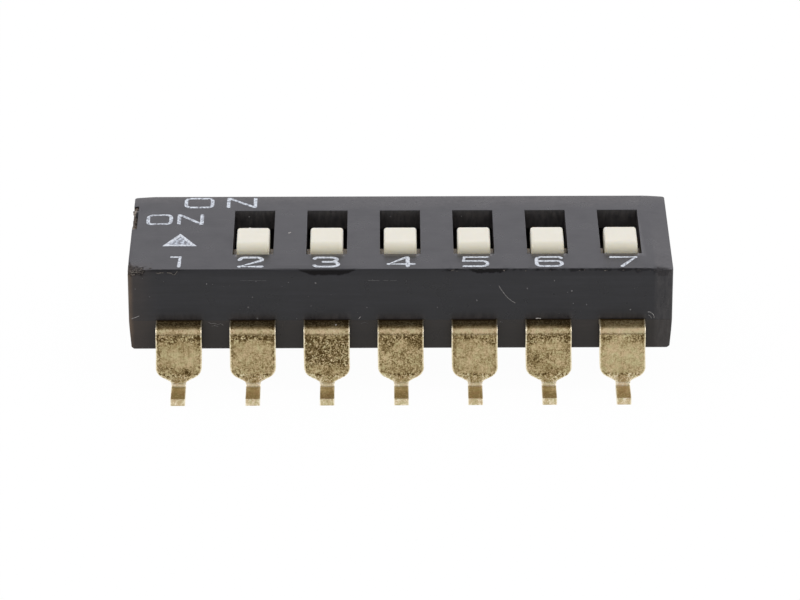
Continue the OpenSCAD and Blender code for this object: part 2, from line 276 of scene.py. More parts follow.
def stained_gold():
    """Gold flash on stamped bronze: bright with painted highlights at sheared edges, on the bend, the neck
    and in glints, dark with painted shade against the body; dulled, flecked and crazed on the faces.
    """
    material, tree = new_material("gold_flashed_bronze")
    where = add(tree, "TexCoord").outputs["Object"]
    grime_and_light, wrinkle, spots, matt = [add(tree, "Attribute", attribute_name=kind).outputs["Fac"]
                                   for kind in (GRIME_AND_LIGHT, WRINKLE, SPOTS, MATT)]
    fleck = add(tree, "TexNoise", {"Scale": grain(0.06), "Detail": 2.0, "Roughness": 0.6, "Distortion": 0.9},
                {"Vector": where})
    patch = add(tree, "TexNoise", {"Scale": grain(0.32), "Detail": 2.0, "Roughness": 0.6},
                {"Vector": where})
    upright = add(tree, "Mapping", {"Scale": (1, 0.1, 0.1)}, {"Vector": where})
    drawn = add(tree, "TexNoise", {"Scale": grain(0.04), "Detail": 2.0}, {"Vector": upright})
    # Grime, and the painted light worked in with it, gather by the level worked out for each place, broken up
    # by flecks inside larger patches
    flecked = add(tree, "Math", {1: 1.1}, {0: fleck, 2: grime_and_light}, operation="MULTIPLY_ADD")
    patched = add(tree, "Math", {1: 0.5}, {0: patch, 2: flecked}, operation="MULTIPLY_ADD")
    brushed = add(tree, "Math", {1: 0.45}, {0: drawn, 2: patched}, operation="MULTIPLY_ADD")
    # Where the flash has crazed, thin bright wavy lines run through the grime
    vein = add(tree, "TexNoise", {"Scale": grain(0.17), "Detail": 1.5, "Distortion": 1.2},
               {"Vector": where})
    off = add(tree, "Math", {1: 0.5}, {0: vein}, operation="SUBTRACT")
    aside = add(tree, "Math", links={0: off}, operation="ABSOLUTE")
    line = add(tree, "MapRange", {"From Max": 0.045, "To Min": -0.9, "To Max": 0.0}, {"Value": aside})
    crazed = add(tree, "Math", links={0: line, 1: wrinkle, 2: brushed}, operation="MULTIPLY_ADD")
    # Where dirt has dried, crisp brown spots crowd together, with painted glints, painted highlights, between
    # them
    drop = add(tree, "TexNoise", {"Scale": grain(0.075), "Detail": 2.0, "Roughness": 0.55, "Distortion": 1.0},
               {"Vector": where})
    spot = add(tree, "MapRange", {"From Min": 0.48, "From Max": 0.57, "To Max": 0.7}, {"Value": drop})
    glint = add(tree, "MapRange", {"From Min": 0.37, "From Max": 0.43, "To Min": -0.75, "To Max": 0.0},
                {"Value": drop})
    mixed = add(tree, "Math", links={0: spot, 1: glint}, operation="ADD")
    level = add(tree, "Math", links={0: mixed, 1: spots, 2: crazed}, operation="MULTIPLY_ADD")
    rubbed = add(tree, "MapRange", {"From Min": 0.2, "From Max": 0.95}, {"Value": level})
    dulled = add(tree, "MapRange", {"From Min": 1.2, "From Max": 1.65}, {"Value": level})
    stained = add(tree, "MapRange", {"From Min": 1.62, "From Max": 2.05}, {"Value": level})
    # The flash is pinker in some places and greener in others
    tinge = add(tree, "TexNoise", {"Scale": grain(0.2), "Detail": 2.0, "Roughness": 0.6}, {"Vector": where})
    tinge_fade = add(tree, "MapRange", {"From Min": 0.35, "From Max": 0.65}, {"Value": tinge})
    flash = add(tree, "Mix", {6: linear("#BDB288"), 7: linear("#C5AF8A")}, {0: tinge_fade},
                data_type="RGBA")
    # The palest colour is painted highlight on sheared edges, the bend, the neck and glints, as well as bare
    # metal
    bare_and_highlight = add(tree, "Mix", {6: linear("#F3E8CC")}, {0: rubbed, 7: flash}, data_type="RGBA")
    gold = add(tree, "Mix", {7: linear("#927F58")}, {0: dulled, 6: bare_and_highlight}, data_type="RGBA")
    colour = add(tree, "Mix", {7: linear("#4E3D21")}, {0: stained, 6: gold}, data_type="RGBA")
    satin = add(tree, "MapRange", {"From Min": 1.2, "From Max": 2.1, "To Min": 0.3, "To Max": 0.46},
                {"Value": level})
    rough = add(tree, "Math", {1: 0.09}, {0: matt, 2: satin}, operation="MULTIPLY_ADD")
    bump = add(tree, "Bump", {"Strength": 0.35, "Distance": 0.01 * MM}, {"Height": level})
    shader = add(tree, "BsdfPrincipled", {"Metallic": 1.0},
                 {"Base Color": colour, "Roughness": rough, "Normal": bump})
    add(tree, "OutputMaterial", links={"Surface": shader})
    return material


def bright_gold():
    """Gold-plated spring strip: clean, fine rolling lines across the strip."""
    material, tree = new_material("gold_plated_spring_strip")
    where = add(tree, "TexCoord").outputs["Object"]
    across = add(tree, "Mapping", {"Scale": (1, 0.1, 0.1)}, {"Vector": where})
    lines = add(tree, "TexNoise", {"Scale": grain(0.03), "Detail": 2.0}, {"Vector": across})
    rough = add(tree, "MapRange", {"To Min": 0.22, "To Max": 0.38}, {"Value": lines})
    shader = add(tree, "BsdfPrincipled", {"Metallic": 1.0, "Base Color": linear("#D9BE7C")},
                 {"Roughness": rough})
    add(tree, "OutputMaterial", links={"Surface": shader})
    return material


def pad_print_ink(name, solid_hex, speck, worn_from, worn_to):
    """White pad-printing ink: chalky and bluish, thin enough in places for the black to show through."""
    material, tree = new_material(name)
    where = add(tree, "TexCoord").outputs["Object"]
    specks = add(tree, "TexNoise", {"Scale": grain(speck), "Detail": 3.0, "Roughness": 0.6},
                 {"Vector": where})
    worn = add(tree, "MapRange", {"From Min": worn_from, "From Max": worn_to}, {"Value": specks})
    colour = add(tree, "Mix", {6: linear(solid_hex), 7: linear("#6E7076")}, {0: worn}, data_type="RGBA")
    shader = add(tree, "BsdfPrincipled", {"Roughness": 0.6, "IOR": 1.45}, {"Base Color": colour})
    add(tree, "OutputMaterial", links={"Surface": shader})
    return material


def torn_plastic(name, pale_hex, dark_hex):
    """Torn or scuffed nylon and dust: the surface whitens and scatters light."""
    material, tree = new_material(name)
    where = add(tree, "TexCoord").outputs["Object"]
    mix = add(tree, "TexNoise", {"Scale": grain(0.08), "Detail": 3.0}, {"Vector": where})
    fade = add(tree, "MapRange", {"From Min": 0.35, "From Max": 0.65}, {"Value": mix})
    colour = add(tree, "Mix", {6: linear(pale_hex), 7: linear(dark_hex)}, {0: fade}, data_type="RGBA")
    shader = add(tree, "BsdfPrincipled", {"Roughness": 0.8}, {"Base Color": colour})
    add(tree, "OutputMaterial", links={"Surface": shader})
    return material


COVER_BLACK = moulded_black("moulded_black_nylon", "#1F1F21", "#2A2A2D")
BASE_BLACK = moulded_black("moulded_black_nylon_base", "#25211E", "#302B28")
CREAM = moulded_cream()
GOLD = stained_gold()
SPRING_GOLD = bright_gold()
INK = pad_print_ink("pad_print_ink", "#CCD2D6", 0.07, 0.47, 0.67)
WORN_INK = pad_print_ink("pad_print_ink_worn", "#CCD3D8", 0.09, 0.45, 0.61)
PATCHY_INK = pad_print_ink("pad_print_ink_patchy", "#C3CCD4", 0.11, 0.39, 0.55)
DUST = torn_plastic("settled_dust", "#676664", "#4E4D4E")
SCRATCH = torn_plastic("scratched_nylon", "#94928E", "#696763")
LINT = torn_plastic("pale_lint", "#D2CFC7", "#A5A29B")
TORN = torn_plastic("torn_nylon", "#716B61", "#33302D")
BROKEN_GATE = torn_plastic("broken_gate_nylon", "#A3998B", "#4A4038")
GATE_FLOOR = torn_plastic("rough_gate_nylon", "#63574A", "#332C25")


# Cover: the solid with a worn front top edge

EDGE_END = 9.0
EDGE_STEP = 0.025
EDGE_TOP_Y = -BODY_W / 2 + 0.3
EDGE_FACE_Z = Z_TOP - 0.3
EDGE_R = 0.024
# Depths below the top at which the front face is cut into rows, and the number of rows round the edge
FACE_DEPTHS = (0.3, 0.25, 0.21, 0.18, 0.155, 0.13, 0.11, 0.09, 0.075, 0.06, 0.048, 0.038)
ROUND_ROWS = 5
# Rubbed and torn places along the edge, matt and darkened with painted shade: from, to, how far down the
# face, and how matt and dark
EDGE_MARKS = ((-9.0, -7.2, 0.08, 0.6), (-3.62, -1.4, 0.21, 0.95), (-1.5, 0.7, 0.06, 0.35),
              (1.4, 2.5, 0.07, 0.6), (2.2, 3.8, 0.15, 0.9), (5.7, 6.2, 0.1, 0.7), (6.7, 7.3, 0.08, 0.65),
              (7.35, 8.0, 0.11, 0.75), (7.95, 8.4, 0.14, 0.6), (8.15, 8.9, 0.1, 0.55))
# Right of this place the edge is rubbed harder
HARD_RUB_X = 1.4
GATE_D, GATE_L, GATE_Y, GATE_H = 0.17, 1.9, 1.36, 0.25


def top_z(x):
    """Height of the cover's top, which slopes a little at its ends."""
    past = max(0.0, abs(x) - (BODY_L / 2 - LAND_W))
    return Z_TOP - LAND_DROP * past / LAND_W


def ease(t):
    """A smooth step from 0 to 1."""
    t = min(1.0, max(0.0, t))
    return t * t * (3 - 2 * t)


def bump_between(x, start, end, soft):
    """A smooth plateau of 1 between two places, fading over a soft length at each side."""
    return ease((x - start) / soft) * ease((end - x) / soft)


def edge_wear_and_shade(x, depth):
    """How matt, and how dark with painted shade, the front face is at a depth below its top edge: a thin
    rubbed line and deeper marks on it.
    """
    ragged = noise.noise((x * 5.0, depth * 12, 1.3)) + 0.6 * noise.noise((x * 16.0, depth * 28, 7.7))
    thin = (0.055 if x < HARD_RUB_X else 0.065) * (1 + 0.7 * noise.noise((x * 2.1, 3.1, 0.0)) + 0.5 * ragged)
    rubbed = 0.3
    if x >= HARD_RUB_X:
        rubbed = min(1.0, max(0.15, 0.5 + 0.9 * noise.noise((x * 6.5, 2.2, 0.0))))
    mark = rubbed * ease((thin - depth) / 0.03 + 0.5)
    for start, end, reach, strength in EDGE_MARKS:
        torn = 1 + (0.15 if x < 0 else 0.4) * ragged
        here = reach * bump_between(x, start, end, 0.3 * (end - start)) * torn
        if here > 0.01:
            mark = max(mark, strength * ease((here - depth) / (0.05 if x < 0 else 0.03) + 0.5))
    return max(mark, 0.3 * math.exp(-depth / 0.2))


def edge_fleck(x, depth):
    """Where torn shreds show pale on the edge, right of the middle."""
    if x < HARD_RUB_X or depth > 0.1:
        return 0.0
    return 1.2 * ease((noise.noise((x * 8.0, depth * 22, 4.2)) - 0.25) / 0.15)


def edge_drop(x):
    """How far the worn edge lies under the top: a shallow sag under the 3, and small bites on the right."""
    sag = 0.036 * bump_between(x, -4.7, -1.2, 0.7)
    bites = 0.04 * max(0.0, noise.noise((x * 7.0, 5.5, 0.0)) + 0.1) * ease((x - 1.2) / 0.4)
    return sag + bites


def worn_front_edge(bm):
    """Replace the plain round of the front top edge with a worn one that is joined to the faces beside it."""
    for axis, at in ((1, EDGE_TOP_Y), (2, EDGE_FACE_Z), (0, EDGE_END), (0, -EDGE_END)):
        cut(bm, axis, at)
    gone = []
    for face in bm.faces:
        c = face.calc_center_median()
        if abs(c.x) < EDGE_END and c.y < EDGE_TOP_Y and c.z > EDGE_FACE_Z:
            gone.append(face)
    bmesh.ops.delete(bm, geom=gone, context="FACES")
    columns = round(2 * EDGE_END / EDGE_STEP)
    for edge in [e for e in bm.edges if e.is_boundary]:
        length = abs(edge.verts[0].co.x - edge.verts[1].co.x)
        if length > 2 * EDGE_STEP:
            bmesh.ops.subdivide_edges(bm, edges=[edge], cuts=round(length / EDGE_STEP) - 1)
    for vert in {v for e in bm.edges if e.is_boundary for v in e.verts}:
        vert.co.x = round((vert.co.x + EDGE_END) / EDGE_STEP) * EDGE_STEP - EDGE_END
    dent_and_shade = bm.verts.layers.float.new(DENT_AND_SHADE)
    scuff = bm.verts.layers.float.new(SCUFF)
    rows = len(FACE_DEPTHS) + ROUND_ROWS + 1
    strip = bmesh.ops.create_grid(bm, x_segments=columns, y_segments=rows, size=0.5)["verts"]
    for vert in strip:
        x = round((vert.co.x + 0.5) * columns) * EDGE_STEP - EDGE_END
        row = round((vert.co.y + 0.5) * rows)
        top, drop = top_z(x), edge_drop(x)
        if row == 0:
            vert.co = (x, -BODY_W / 2, EDGE_FACE_Z)
        elif row == rows:
            vert.co = (x, EDGE_TOP_Y, top)
        elif row == rows - 1:
            vert.co = (x, -BODY_W / 2 + EDGE_R + 0.035, top - 0.3 * drop)
        elif row < len(FACE_DEPTHS):
            depth = FACE_DEPTHS[row]
            mark = edge_wear_and_shade(x, depth)
            vert[dent_and_shade], vert[scuff] = mark, edge_fleck(x, depth)
            pit = max(0.0, mark - 0.45) * (0.022 + 0.02 * noise.noise((x * 13.0, depth * 20, 4.4)))
            vert.co = (x, -BODY_W / 2 + pit, top - depth - drop * (1 - depth / FACE_DEPTHS[0]))
        else:
            turn = math.radians(90 * (row - len(FACE_DEPTHS)) / (ROUND_ROWS - 1))
            mark = edge_wear_and_shade(x, 0.02)
            vert[dent_and_shade] = mark * math.cos(turn) ** 0.5
            chip = max(0.0, mark - 0.45) * 0.02 * (1 + noise.noise((x * 7.0, 5.5, 0.0)))
            vert.co = (x, -BODY_W / 2 + EDGE_R * (1 - math.cos(turn)) + chip,
                       top - EDGE_R * (1 - math.sin(turn)) - 0.5 * chip * math.cos(turn) - drop)
    bmesh.ops.remove_doubles(bm, verts=bm.verts, dist=0.002)
    bmesh.ops.holes_fill(bm, edges=[e for e in bm.edges if e.is_boundary], sides=60)
    bmesh.ops.recalc_face_normals(bm, faces=bm.faces)


# Zones of the front corners that are cut finely, from one corner to the other
FINE_ZONES = (((-9.4, -3.1, 3.74), (-8.4, -2.2, 4.44)), ((8.55, -3.1, 3.89), (9.4, -2.75, 4.44)))
FINE_STEP = 0.045
# Bruises in these zones: middle, reach along each axis, depth and paleness
BRUISES = (((-9.22, -3.03, 4.35), (0.7, 0.42, 0.26), 0.08, 1.0),
           ((-9.33, -2.7, 4.37), (0.14, 0.55, 0.12), 0.03, 0.95),
           ((8.95, -3.05, 4.3), (0.34, 0.2, 0.26), 0.05, 0.62))


def slice_zone(bm, low, high):
    """Cut every face inside a box into a fine grid, so that the zone can be bruised."""
    for axis in range(3):
        cuts = round((high[axis] - low[axis]) / FINE_STEP)
        for k in range(cuts + 1):
            inside = [f for f in bm.faces
                      if all(low[a] - 1e-4 < f.calc_center_median()[a] < high[a] + 1e-4 for a in range(3))]
            if k in (0, cuts):
                inside = bm.faces[:]
            cut(bm, axis, low[axis] + (high[axis] - low[axis]) * k / cuts, inside)


def bruise_corner(bm, middle, reach, depth, pale):
    """Crush the surface round a point: lumps pushed in and out with a ragged border, and torn shreds."""
    scuff = bm.verts.layers.float[SCUFF]
    for vert in bm.verts:
        away = vert.co - Vector(middle)
        far = math.sqrt(sum((away[a] / reach[a]) ** 2 for a in range(3)))
        if far < 1:
            hold = (1 - far) ** 0.6
            lump = noise.noise_vector(vert.co * 5.5) + 0.6 * noise.noise_vector(vert.co * 14.0)
            ragged = hold + 0.45 * noise.noise(vert.co * 9.0)
            vert[scuff] = max(vert[scuff], pale * ease((ragged - 0.25) / 0.25))
            push = 0.35 + 0.65 * noise.noise(vert.co * 4.0)
            inward = Vector((-math.copysign(1, middle[0]), 1, -1)) * push
            vert.co += depth * hold * (0.6 * lump + 0.5 * inward)


RIM_R = 0.02


def soften_windows(bm):
    """Round the rims of the windows a little, as a mould leaves them."""
    rims = []
    for edge in bm.edges:
        flat = all(abs(v.co.z - Z_TOP) < 1e-3 and abs(v.co.y) < 2.2 for v in edge.verts)
        if flat and edge.calc_face_angle(0) > math.radians(60):
            rims.append(edge)
    bmesh.ops.bevel(bm, geom=rims, offset=RIM_R, affect="EDGES", segments=2, profile=0.5, material=-1)


# Where the ends are cut into upright strips for the brown and grey on them, and the top for the dust at its
# rear
LEFT_STRIPS = (-9.31, -9.26, -9.21, -9.16, -8.85, -8.55, -8.25)
RIGHT_STRIPS = (8.7, 8.775, 8.85, 8.95, 9.05, 9.15, 9.25)
FRONT_STRIPS = (-2.95, -2.7, -2.3)
REAR_STRIPS = (2.1, 2.45, 2.75, 2.9)
# Where the brown on the left end's face, a painted warm reflection, and the brown along its front edge begin,
# and how far on each is full
LEFT_REFLECTION_X, LEFT_REFLECTION_FADE = -9.14, 0.17
FRONT_BROWN_X, FRONT_BROWN_FADE = -8.25, 0.9


def tint_ends(bm):
    """Paint a warm brown reflection on the left end's front edge, grey the right end with an upright smear
    and dust the top's rear.
    """
    for axis, strips in ((0, LEFT_STRIPS + RIGHT_STRIPS), (1, FRONT_STRIPS + REAR_STRIPS)):
        for at in strips:
            cut(bm, axis, at)
    dust_and_light, brown_and_light = bm.verts.layers.float.new(DUST_AND_LIGHT), bm.verts.layers.float.new(BROWN_AND_LIGHT)
    for vert in bm.verts:
        x, y, z = vert.co
        near_front = 0.03 + 0.97 * ease((FRONT_STRIPS[2] - y) / 0.7)
        # Painted warm reflection on the left end's rounded corner and face
        vert[brown_and_light] = 0.85 * ease((LEFT_REFLECTION_X - x) / LEFT_REFLECTION_FADE) * near_front
        if y < FRONT_STRIPS[1]:
            vert[brown_and_light] += 0.16 * ease((FRONT_BROWN_X - x) / FRONT_BROWN_FADE)
        if y < 0:
            vert[dust_and_light] = 0.3 * ease((x - RIGHT_STRIPS[0]) / 0.12)
        elif z > Z_TOP - 0.1:
            vert[dust_and_light] = 0.65 * ((y - REAR_STRIPS[0]) / 0.95) ** 2 if y > REAR_STRIPS[0] else 0.0


# Painted light on the front face just over each terminal, against the dark reflection of its shelf: heights
# over the seam and how strong it is there
LIFT_RISES = (0.0, 0.12, 0.24, 0.36)
LIFT_LEVELS = (0.38, 0.34, 0.13, 0.0)
LIFT_HALF, LIFT_FADE = 0.7, 0.18


def lift_over_terminals(bm):
    """Cut the lower front face into cells over the terminals and lighten them with painted light."""
    cuts = [(2, Z_SEAM + rise) for rise in LIFT_RISES[1:]]
    for i in POSITIONS:
        for reach in (LIFT_HALF, LIFT_HALF + LIFT_FADE):
            cuts += [(0, place(i) + s * reach) for s in (-1, 1)]
    for axis, at in cuts:
        front = [f for f in bm.faces if f.normal.y < -0.98 and f.calc_center_median().z < Z_SEAM + 1.8]
        front = [f for f in front
                 if min(v.co.z for v in f.verts) < Z_SEAM + 0.4 and f.calc_center_median().y < -2.9]
        cut(bm, axis, at, front)
    # Painted light: lightens the reflection of each terminal's dark shelf in the face
    dust_and_light = bm.verts.layers.float[DUST_AND_LIGHT]
    for vert in bm.verts:
        x, y, z = vert.co
        rise = z - Z_SEAM
        if y < -3 and rise < LIFT_RISES[-1] + 0.01:
            level = max(v for r, v in zip(LIFT_RISES, LIFT_LEVELS) if abs(r - rise) < 0.07)
            away = min(abs(x - place(i)) for i in POSITIONS)
            vert[dust_and_light] = max(vert[dust_and_light], level * ease((LIFT_HALF + LIFT_FADE - away) / LIFT_FADE))


# Painted light in front of each knob, on the window's lip, lifts the knob's shadow there: half its width, how
# far it fades at each side, how far out it reaches and how strong it is
LIP_HALF, LIP_FADE, LIP_OUT, LIP_LIFT = 0.53, 0.1, 0.22, 2.2


def lift_lip_shadows(bm):
    """Cut a narrow field into the top before each window and paint light on its inner side, against the
    knob's shadow.
    """
    lip_y = min(v.co.y for v in bm.verts if abs(v.co.z - Z_TOP) < 1e-3 and -2.2 < v.co.y < -1.5)
    columns = [place(i) + s * reach for i in SLIDES for s in (-1, 1)
               for reach in (LIP_HALF, LIP_HALF + LIP_FADE)]
    for axis, at in [(0, x) for x in columns] + [(1, lip_y - LIP_OUT)]:
        top = [f for f in bm.faces if f.normal.z > 0.98 and f.calc_center_median().z > Z_TOP - 0.01]
        if axis == 1:
            top = [f for f in top if max(v.co.y for v in f.verts) < lip_y + 0.01
                   and min(abs(f.calc_center_median().x - place(i)) for i in SLIDES) < LIP_HALF + LIP_FADE]
        cut(bm, axis, at, top)
    # The cuts behind the windows are taken back, so that the top stays whole there
    spare = []
    for edge in bm.edges:
        if all(v.co.z > Z_TOP - 1e-3 and v.co.y > 1.5 and min(abs(v.co.x - x) for x in columns) < 1e-4
               for v in edge.verts):
            spare.append(edge)
    bmesh.ops.dissolve_edges(bm, edges=spare, use_verts=True)
    # Painted light: the lip is lightened where the knob's shadow falls
    dust_and_light = bm.verts.layers.float[DUST_AND_LIGHT]
    for vert in bm.verts:
        away = min(abs(vert.co.x - place(i)) for i in SLIDES)
        if away < LIP_HALF + 0.01 and abs(vert.co.y - lip_y) < 0.005 and vert.co.z > Z_TOP - 0.01:
            vert[dust_and_light] = LIP_LIFT


# Painted light on the walls inside the windows, where little light reaches
WINDOW_LIFT = 0.42

cover = solid_copy("cover")
soften_windows(cover)
worn_front_edge(cover)
tint_ends(cover)
lift_over_terminals(cover)
lift_lip_shadows(cover)
dust_and_light, brown_and_light = cover.verts.layers.float[DUST_AND_LIGHT], cover.verts.layers.float[BROWN_AND_LIGHT]
for vert in cover.verts:
    x, y, z = vert.co
    # Painted light lifts the shaded walls inside the windows
    if abs(y) < 2 and abs(x) < 8.5 and Z_TOP - ROOF_T - 0.01 < z < Z_TOP - 0.015:
        vert[dust_and_light] = WINDOW_LIFT
    # The floor of the gate's recess is browned: painted light on the shade in it
    in_gate = x < GATE_D - BODY_L / 2 + 0.01 and abs(y - GATE_Y) < GATE_L / 2 + 0.01
    if in_gate and abs(z - Z_TOP + GATE_H) < 0.01:
        vert[brown_and_light] = 1.0
    elif z > Z_TOP - 0.1 and y > -2:
        vert[brown_and_light] *= 0.25
for low, high in FINE_ZONES:
    slice_zone(cover, low, high)
for middle, reach, depth, pale in BRUISES:
    bruise_corner(cover, middle, reach, depth, pale)
finish_piece(cover, "cover_shell", COVER_BLACK, "housing", ["cover"])

base = solid_copy("base")
tint_ends(base)
finish_piece(base, "base_block", BASE_BLACK, "housing", ["base"])

# Melted flash fills the seam between cover and base almost flush
FLASH_INSET, FLASH_DEPTH, FLASH_H, FLASH_END = 0.005, 0.03, 0.036, 0.1
flash = bmesh.new()
for side in (-1, 1):
    near, far = sorted((side * (BODY_W / 2 - FLASH_INSET), side * (BODY_W / 2 - FLASH_DEPTH)))
    end = BODY_L / 2 - FLASH_END
    box(flash, (-end, near, Z_SEAM - FLASH_H / 2), (end, far, Z_SEAM + FLASH_H / 2))
finish_piece(flash, "seam_flash", BASE_BLACK, "housing")


# Terminals: a blank that is cut to its outline and bent, with softened cut edges

STRIP_T = 0.26
SHOULDER_W = 1.58
FOOT_W = 0.5
FACE_Y = BODY_W / 2 + 0.68
FOOT_TIP_Y = FACE_Y + 0.98
BEND_R = 0.33
FOOT_R = 0.16
NECK_Z = STRIP_T + 0.17
FLANK = math.radians(29)
SHOULDER_R = 0.42
NECK_R = 0.14
PAD_W = 1.8
PAD_FRONT_END = TRAVEL / 2 - 0.8 + 0.27
PAD_REAR_START = PAD_FRONT_END + 0.7
CORNER_Z = (NECK_Z + SHOULDER_R / math.cos(FLANK)
            + (SHOULDER_W / 2 - SHOULDER_R - FOOT_W / 2) * math.tan(FLANK))
# Length of the slope from the pad to the narrower strip, and rows of the flat shelf out from the wall's face
PAD_SLOPE = 0.12
SHELF_OUTS = (-0.03, 0.04, 0.08, 0.13)


def half_width(z):
    """Half the strip's width in front view, at a height on its upright face."""
    flank_top = CORNER_Z - SHOULDER_R * math.cos(FLANK)
    fillet_z = NECK_Z - NECK_R * math.tan(math.pi / 4 - FLANK / 2)
    flank_foot = fillet_z + NECK_R * math.cos(FLANK)
    if z >= CORNER_Z:
        return SHOULDER_W / 2
    if z >= flank_top:
        return SHOULDER_W / 2 - SHOULDER_R + math.sqrt(SHOULDER_R ** 2 - (CORNER_Z - z) ** 2)
    if z >= flank_foot:
        return FOOT_W / 2 + (z - NECK_Z) / math.tan(FLANK)
    if z > fillet_z:
        return FOOT_W / 2 + NECK_R - math.sqrt(NECK_R ** 2 - (z - fillet_z) ** 2)
    return FOOT_W / 2


def strip_stations(pad_y):
    """Points down the strip's outer side: place out from the middle, height, outward tilt, half width."""
    wall_y = BODY_W / 2 - WALL_T
    stations = [(y, Z_SEAM, 90, PAD_W / 2) for y in (-pad_y, wall_y - PAD_SLOPE)]
    shelf = [BODY_W / 2 + out for out in SHELF_OUTS]
    stations += [(y, Z_SEAM, 90, SHOULDER_W / 2) for y in (wall_y, *shelf)]
    turn_y, turn_z = FACE_Y - BEND_R, Z_SEAM - BEND_R
    steps = 14
    for k in range(steps + 1):
        tilt = 90 - 90 * k / steps
        a = math.radians(tilt)
        stations.append((turn_y + BEND_R * math.cos(a), turn_z + BEND_R * math.sin(a), tilt, SHOULDER_W / 2))
    foot_turn_z = STRIP_T + FOOT_R
    steps = 18
    for k in range(1, steps):
        z = turn_z + (CORNER_Z - turn_z) * k / steps
        stations.append((FACE_Y, z, 0, SHOULDER_W / 2))
    steps = 34
    for k in range(steps + 1):
        z = CORNER_Z + (foot_turn_z - CORNER_Z) * k / steps
        stations.append((FACE_Y, z, 0, half_width(z)))
    steps = 10
    for k in range(1, steps + 1):
        tilt = 90 * k / steps
        a = math.radians(tilt)
        y = FACE_Y + FOOT_R - FOOT_R * math.cos(a)
        z = foot_turn_z - FOOT_R * math.sin(a)
        stations.append((y, z, tilt, half_width(foot_turn_z - FOOT_R * a)))
    stations.append((FOOT_TIP_Y, STRIP_T, 90, FOOT_W / 2))
    return stations


# What sets single terminals apart: how much dirtier their middle is and how much higher it reaches, how
# much cleaner they are all over, how spotted and crazed the middle is, how matt the shelf is, how far the
# foot was knocked along the row, and stains, each with its place across and up, radius and strength
USUAL = {"dirtier": 0.0, "higher": 0.0, "cleaner": 0.0, "spotted": 0.3, "crazed": 0.1, "matt_shelf": 1.0,
         "knocked": 0.0, "stains": ()}
WEAR = {
    "terminal_front_1": {"spotted": 0.15, "matt_shelf": 1.6, "knocked": -0.032,
                         "stains": ((0.27, 0.77, 0.19, 0.42), (0.0, 2.05, 0.5, 0.1))},
    "terminal_front_2": {"dirtier": 0.02, "spotted": 0.25},
    "terminal_front_3": {"dirtier": 0.34, "higher": 0.38, "spotted": 0.75, "crazed": 1.0, "knocked": 0.012,
                         "stains": ((-0.1, 1.6, 0.5, 0.12), (0.5, 1.8, 0.3, 0.15))},
    "terminal_front_4": {"dirtier": 0.06, "spotted": 0.38, "crazed": 0.5, "knocked": 0.022,
                         "stains": ((-0.45, 1.95, 0.3, 0.3), (0.4, 2.0, 0.32, 0.3), (-0.5, 1.65, 0.2, 0.25))},
    "terminal_front_5": {"dirtier": 0.03, "cleaner": 0.04, "spotted": 0.4, "knocked": 0.026},
    "terminal_front_6": {"dirtier": 0.05, "spotted": 0.36, "crazed": 0.3, "knocked": 0.03,
                         "stains": ((-0.45, 1.25, 0.3, 0.34),)},
    "terminal_front_7": {"cleaner": 0.13, "spotted": 0.45, "matt_shelf": 2.8, "knocked": 0.04},
    "terminal_rear_1": {"cleaner": 0.1},
    "terminal_rear_2": {"dirtier": 0.1, "spotted": 0.6},
    "terminal_rear_3": {"stains": ((0.3, 1.1, 0.2, 0.4),)},
    "terminal_rear_5": {"dirtier": 0.14, "spotted": 0.9, "crazed": 0.8},
}
# Width of the rounding that shearing leaves on an edge
SHEARED = 0.038
# Level of a sheared edge, which is rubbed bare and given a painted highlight
BARE_EDGE_HIGHLIGHT = -0.95


def middle_part(z, wear):
    """How far a height on the upright face belongs to its middle."""
    return bump_between(z, 0.85, Z_SEAM - 0.58 + wear["higher"], 0.3)


def shelf_part(z):
    """How far a height belongs to the flat shelf where the strip leaves the body."""
    return bump_between(z, Z_SEAM - 0.05, Z_SEAM + 0.2, 0.05)


def dried_band(co, x):
    """The band of dried dirt just under the bend."""
    drift = noise.noise((x + co.x * 1.6, co.z * 0.8, 2.7))
    patchy = 0.85 + 0.8 * noise.noise((x + co.x * 2.3, co.z * 4.0, 8.8))
    soft = 0.26 if co.z > Z_SEAM - 0.4 else 0.5
    return patchy * bump_between(co.z, Z_SEAM - 0.82 + 0.2 * drift, Z_SEAM - 0.1, soft)


def off_rim(co):
    """How far a place on the strip lies inside its sheared edge."""
    on_face = co.z > STRIP_T + FOOT_R and co.y < FACE_Y + 0.02
    return (half_width(co.z) if on_face else FOOT_W / 2) - abs(co.x)


